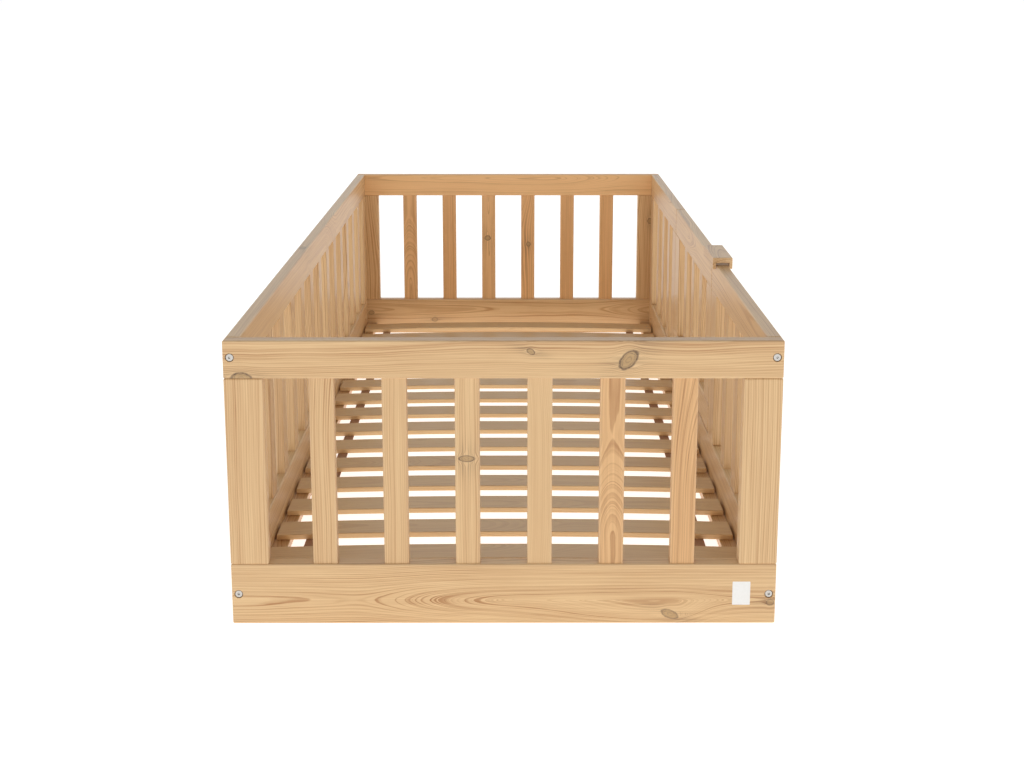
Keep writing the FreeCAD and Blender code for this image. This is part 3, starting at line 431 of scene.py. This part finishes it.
def pine_row(node, axes, width, pitch, rubbed=True, **cut):
    """Finish boards that lie in a row along Y and share one node, each with grain of its own."""
    low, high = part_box(node)
    half = (width / 2, (high[axes[2]] - low[axes[2]]) / 2) if rubbed else None
    row = (low[Y] - (pitch - width) / 2, pitch)
    dress(node, pine(f"pine_{node}", axes, tuple((low + high) / 2), half=half, row=row, **cut))


pine_board("left_top_rail", LEVEL_Y, knots=(Knot(-0.165, 0.0, 0.012, 0.006, 0.8, way="edge"),))
pine_board("left_bottom_rail", LEVEL_Y)
pine_board("left_near_stile", UPRIGHT_Y)
pine_board("left_far_stile", UPRIGHT_Y)
pine_row("left_slats", UPRIGHT_Y, SLAT_WIDTH, SLAT_PITCH)

# --- right side frame ------------------------------------------------------------------------------
# A pine bottom rail in one length carries two fixed sections, each with a top rail, two stiles and
# three slats, dowelled and tenoned as on the left. The gate has the room between them.

for node in ("right_bottom_rail", "right_near_top_rail", "right_far_top_rail"):
    pine_board(node, LEVEL_Y)
for node in ("right_near_outer_stile", "right_near_gate_stile", "right_far_gate_stile",
             "right_far_outer_stile"):
    pine_board(node, UPRIGHT_Y)
for node in ("right_near_slats", "right_far_slats"):
    pine_row(node, UPRIGHT_Y, SLAT_WIDTH, SLAT_PITCH)

# --- gate ------------------------------------------------------------------------------------------
# The gate is a smaller frame of the same pine boards, dowelled, with three slats. It hangs between
# the fixed sections on two hinges at its far stile, and opens outwards.

for node in ("gate_top_rail", "gate_bottom_rail"):
    pine_board(node, LEVEL_Y)
for node in ("gate_hinge_stile", "gate_latch_stile"):
    pine_board(node, UPRIGHT_Y)
pine_row("gate_slats", UPRIGHT_Y, SLAT_WIDTH, SLAT_PITCH)

# --- cleats and laths ------------------------------------------------------------------------------
# A pine cleat is screwed along the foot of each long side. Sixteen thin pine laths, planed and bent
# to a slight camber, lie across the cleats. The first and the last are screwed down.

LATH_WIDTH = 0.054
LATH_PITCH = 0.100

# The cleats' dark, even tone is painted shade, for the shade they lie in under the laths.
pine_board("left_cleat", FLAT_Y, tone=0.38, contrast=0.7)
pine_board("right_cleat", FLAT_Y, tone=0.38, contrast=0.7)
# The laths' pale, grey tone is partly painted light: it stands in for the grey sheen on their tops; the
# rest is the wood's own colour.
pine_row("base_laths", FLAT_X, LATH_WIDTH, LATH_PITCH, rubbed=False, pith=(0.0, -0.03), tone=-0.26,
         warm=-0.10, contrast=0.4)

# --- webbing straps --------------------------------------------------------------------------------
# Two flat straps of brown woven webbing run under the laths, one near each end of them. They are
# stapled to every lath and keep the laths apart.

WEBBING_DARK = (0.330, 0.150, 0.070)
WEBBING_LIGHT = (0.600, 0.330, 0.180)
RIB_SCALE, THREAD_SCALE, FUZZ_SCALE = 190.0, 260.0, 900.0


def woven_wave(here, axis, scale, distortion):
    """Sine bands that follow one another along an axis, from 0 to 1, a little out of line."""
    settings = {"wave_type": "BANDS", "bands_direction": axis}
    given = {"Vector": here, "Scale": scale, "Distortion": distortion, "Detail": 1.0}
    return here.node("ShaderNodeTexWave", settings, given)


def webbing():
    """Plain woven tape: ribs across it, threads along it, and some fuzz."""
    material, shader, here = new_material("brown_webbing")
    ribs = woven_wave(here, "Y", RIB_SCALE, 0.6)
    threads = woven_wave(here, "X", THREAD_SCALE, 0.4)
    fuzz = here.noise(FUZZ_SCALE, 3.0)
    shade = ribs * 0.5 + threads * 0.35 + fuzz * 0.2
    feed(shader, "Base Color", shade.blend(WEBBING_DARK, WEBBING_LIGHT))
    feed(shader, "Normal", (ribs + threads * 0.6).bump(0.5, 0.0006))
    shader.inputs["Roughness"].default_value = 0.85
    shader.inputs["Sheen Weight"].default_value = 0.1
    return material


strap_webbing = webbing()
for node in ("left_strap", "right_strap"):
    dress(node, strap_webbing)

# --- steel fasteners -------------------------------------------------------------------------------
# Turned and stamped steel: zinc-plated bolts, barrel nuts, screws and staples, and nickel-plated
# leaves and pins for the gate's two hinges, which are screwed to the outer face.

ZINC = (0.62, 0.60, 0.57)
NICKEL = (0.56, 0.55, 0.52)
DULLING = 0.72
BLOOM_SCALE, GRIT_SCALE = 160.0, 1400.0


def plated_steel(name, colour, rough):
    """Plated steel: a bright metal with a cloudy bloom and a fine grit."""
    material, shader, here = new_material(name)
    bloom = here.noise(BLOOM_SCALE, 4.0, 0.6)
    grit = here.noise(GRIT_SCALE, 2.0)
    dull = tuple(DULLING * value for value in colour)
    feed(shader, "Base Color", (bloom * 0.16 + grit * 0.03 + 0.75).blend(dull, colour))
    feed(shader, "Roughness", rough + bloom * 0.08 + grit * 0.04)
    feed(shader, "Normal", grit.bump(0.03, 0.0002))
    shader.inputs["Metallic"].default_value = 1.0
    return material


zinc_plate = plated_steel("zinc_plate", ZINC, rough=0.40)
nickel_plate = plated_steel("nickel_plate", NICKEL, rough=0.28)
for node in ("end_bolts", "barrel_nuts", "cleat_screws", "lath_screws", "strap_staples",
             "frame_hinge_screws", "gate_hinge_screws"):
    dress(node, zinc_plate)
for node in ("frame_hinge_leaves", "gate_hinge_leaves", "hinge_pins"):
    dress(node, nickel_plate)

# --- dowels ----------------------------------------------------------------------------------------
# Plain round dowels of pale, even wood pin the joints between rails, posts and stiles. They don't
# show once the bed is built.

for node in ("end_dowels", "side_dowels", "gate_dowels"):
    pine_board(node, UPRIGHT_X, contrast=0.3)

# --- blank label -----------------------------------------------------------------------------------
# A small label of white film with rounded corners and nothing on it. It is stuck to the near bottom
# rail, by its right end.

LABEL_SIZE = (0.028, 0.039)
LABEL_MIDDLE = (0.374, 0.0513)
LABEL_ROUND = 0.0012
LABEL_THICK = 0.00012
FILM_DULL = (0.83, 0.83, 0.81)
FILM_WHITE = (0.90, 0.90, 0.89)
FILM_MOTTLE = 260.0


def label_outline(width, height, corner, steps=6):
    """A rectangle with rounded corners: quarter circles round the corners of a smaller rectangle."""
    turns = np.linspace(0, np.pi / 2, steps)
    quarters = np.concatenate([turns + np.pi / 2 * index for index in range(4)])
    sides = np.repeat([(1, 1), (-1, 1), (-1, -1), (1, -1)], steps, axis=0)
    inner = sides * (width / 2 - corner, height / 2 - corner)
    return inner + corner * np.stack([np.cos(quarters), np.sin(quarters)], axis=1)


# The outline lies once on the rail's face and once in front of it, and a strip joins the two.
outline = label_outline(*LABEL_SIZE, LABEL_ROUND) + LABEL_MIDDLE
rail_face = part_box("near_bottom_rail")[0][Y]
back = np.column_stack([outline[:, 0], np.full(len(outline), rail_face), outline[:, 1]])
front = back - (0, LABEL_THICK, 0)
count = len(outline)
here_on = np.arange(count)
next_on = (here_on + 1) % count
strip = np.stack([count + here_on, count + next_on, next_on, here_on], axis=1)
label_mesh = bpy.data.meshes.new("blank_label")
label_mesh.from_pydata(np.concatenate([front, back]).tolist(), [],
                       [here_on.tolist(), (count + here_on[::-1]).tolist(), *strip.tolist()])
label = bpy.data.objects.new("blank_label", label_mesh)
bpy.context.scene.collection.objects.link(label)
film, film_shader, film_place = new_material("white_film")
mottle = film_place.noise(FILM_MOTTLE, 3.0)
feed(film_shader, "Base Color", (mottle * 0.5 + 0.5).blend(FILM_DULL, FILM_WHITE))
feed(film_shader, "Roughness", mottle * 0.06 + 0.36)
label_mesh.materials.append(film)
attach(label, "frame")

# --- latch cap and its glide -----------------------------------------------------------------------
# The cap is milled from one piece of pine and slides by hand along the top rails, over the seam of
# the gate. A strip of brown wool felt is stuck inside it as a glide.

FELT_DARK = (0.36, 0.27, 0.20)
FELT_LIGHT = (0.56, 0.45, 0.35)
TUFT_SCALE = 700.0


def felt():
    """Pressed wool: matted fibres with no direction, and some cloudiness."""
    material, shader, here = new_material("wool_felt")
    tuft = here.noise(TUFT_SCALE, 5.0, 0.7)
    cloud = here.noise(60.0, 3.0)
    feed(shader, "Base Color", (tuft * 0.5 + cloud * 0.25 + 0.5).blend(FELT_DARK, FELT_LIGHT))
    feed(shader, "Normal", tuft.bump(0.6, 0.0006))
    shader.inputs["Roughness"].default_value = 0.95
    shader.inputs["Sheen Weight"].default_value = 0.4
    return material


pine_board("latch_cap", FLAT_Y, tone=0.06)
dress("latch_glide", felt())

# --- stage, light and camera -----------------------------------------------------------------------
# A white studio floor that glows softly, an even white sky that is dimmer overhead, one soft box in
# front of the bed, and the camera at the photograph's angle.

FLOOR_REACH = 40.0
FLOOR_GREY = (0.90, 0.895, 0.885, 1.0)
FLOOR_GLOW = (1.0, 0.995, 0.985, 1.0)
FLOOR_GLOW_STRENGTH = 0.75
SKY_LEVEL, SKY_FALL = 1.25, 1.08  # strength = level - fall * the direction's height, within the range
SKY_RANGE = {"Min": 0.20, "Max": 1.01}
BOX_PLACE, BOX_AIM = (-0.8, -4.2, 1.8), (0, 0, 0.25)
BOX_WIDTH, BOX_HEIGHT, BOX_POWER = 3.2, 2.2, 5.8
CAMERA_PLACE = (0.0157, -2.6295, 1.0003)
CAMERA_PITCH = 0.16712  # radians down from level
CAMERA_YAW = -0.00116
CAMERA_LENS = 43.155
CAMERA_SHIFT = (-0.00304, -0.19)

corners = np.array([(-1, -1, 0), (1, -1, 0), (1, 1, 0), (-1, 1, 0)]) * FLOOR_REACH
floor_mesh = bpy.data.meshes.new("floor")
floor_mesh.from_pydata(corners.tolist(), [], [(0, 1, 2, 3)])
floor = bpy.data.objects.new("floor", floor_mesh)
bpy.context.scene.collection.objects.link(floor)
floor_finish, floor_shader, _ = new_material("studio_floor")
floor_shader.inputs["Base Color"].default_value = FLOOR_GREY
floor_shader.inputs["Roughness"].default_value = 0.9
floor_shader.inputs["Specular IOR Level"].default_value = 0.1
floor_shader.inputs["Emission Color"].default_value = FLOOR_GLOW
floor_shader.inputs["Emission Strength"].default_value = FLOOR_GLOW_STRENGTH
floor_mesh.materials.append(floor_finish)

world = bpy.data.worlds.new("studio")
bpy.context.scene.world = world
world.use_nodes = True
backdrop = world.node_tree.nodes["Background"]
backdrop.inputs["Color"].default_value = (1.0, 1.0, 1.0, 1.0)
direction = Wire(world.node_tree.nodes.new("ShaderNodeTexCoord").outputs["Generated"])
height = direction.node("ShaderNodeSeparateXYZ", {}, {0: direction}, 2)
sky = SKY_LEVEL - SKY_FALL * height
feed(backdrop, "Strength", sky.node("ShaderNodeClamp", {}, {"Value": sky, **SKY_RANGE}))

light = bpy.data.lights.new("front_box", "AREA")
light.shape = "RECTANGLE"
light.size, light.size_y = BOX_WIDTH, BOX_HEIGHT
light.energy = BOX_POWER
lamp = bpy.data.objects.new("front_box", light)
lamp.location = BOX_PLACE
lamp.rotation_euler = (Vector(BOX_AIM) - Vector(BOX_PLACE)).to_track_quat("-Z", "Y").to_euler()
bpy.context.scene.collection.objects.link(lamp)
bpy.context.scene.view_settings.view_transform = "Standard"

camera_data = bpy.data.cameras.new("camera")
camera_data.lens = CAMERA_LENS
camera_data.sensor_width = 36.0
camera_data.shift_x, camera_data.shift_y = CAMERA_SHIFT
camera = bpy.data.objects.new("camera", camera_data)
camera.location = CAMERA_PLACE
camera.rotation_euler = (math.pi / 2 - CAMERA_PITCH, 0.0, CAMERA_YAW)
bpy.context.scene.collection.objects.link(camera)
bpy.context.scene.camera = camera
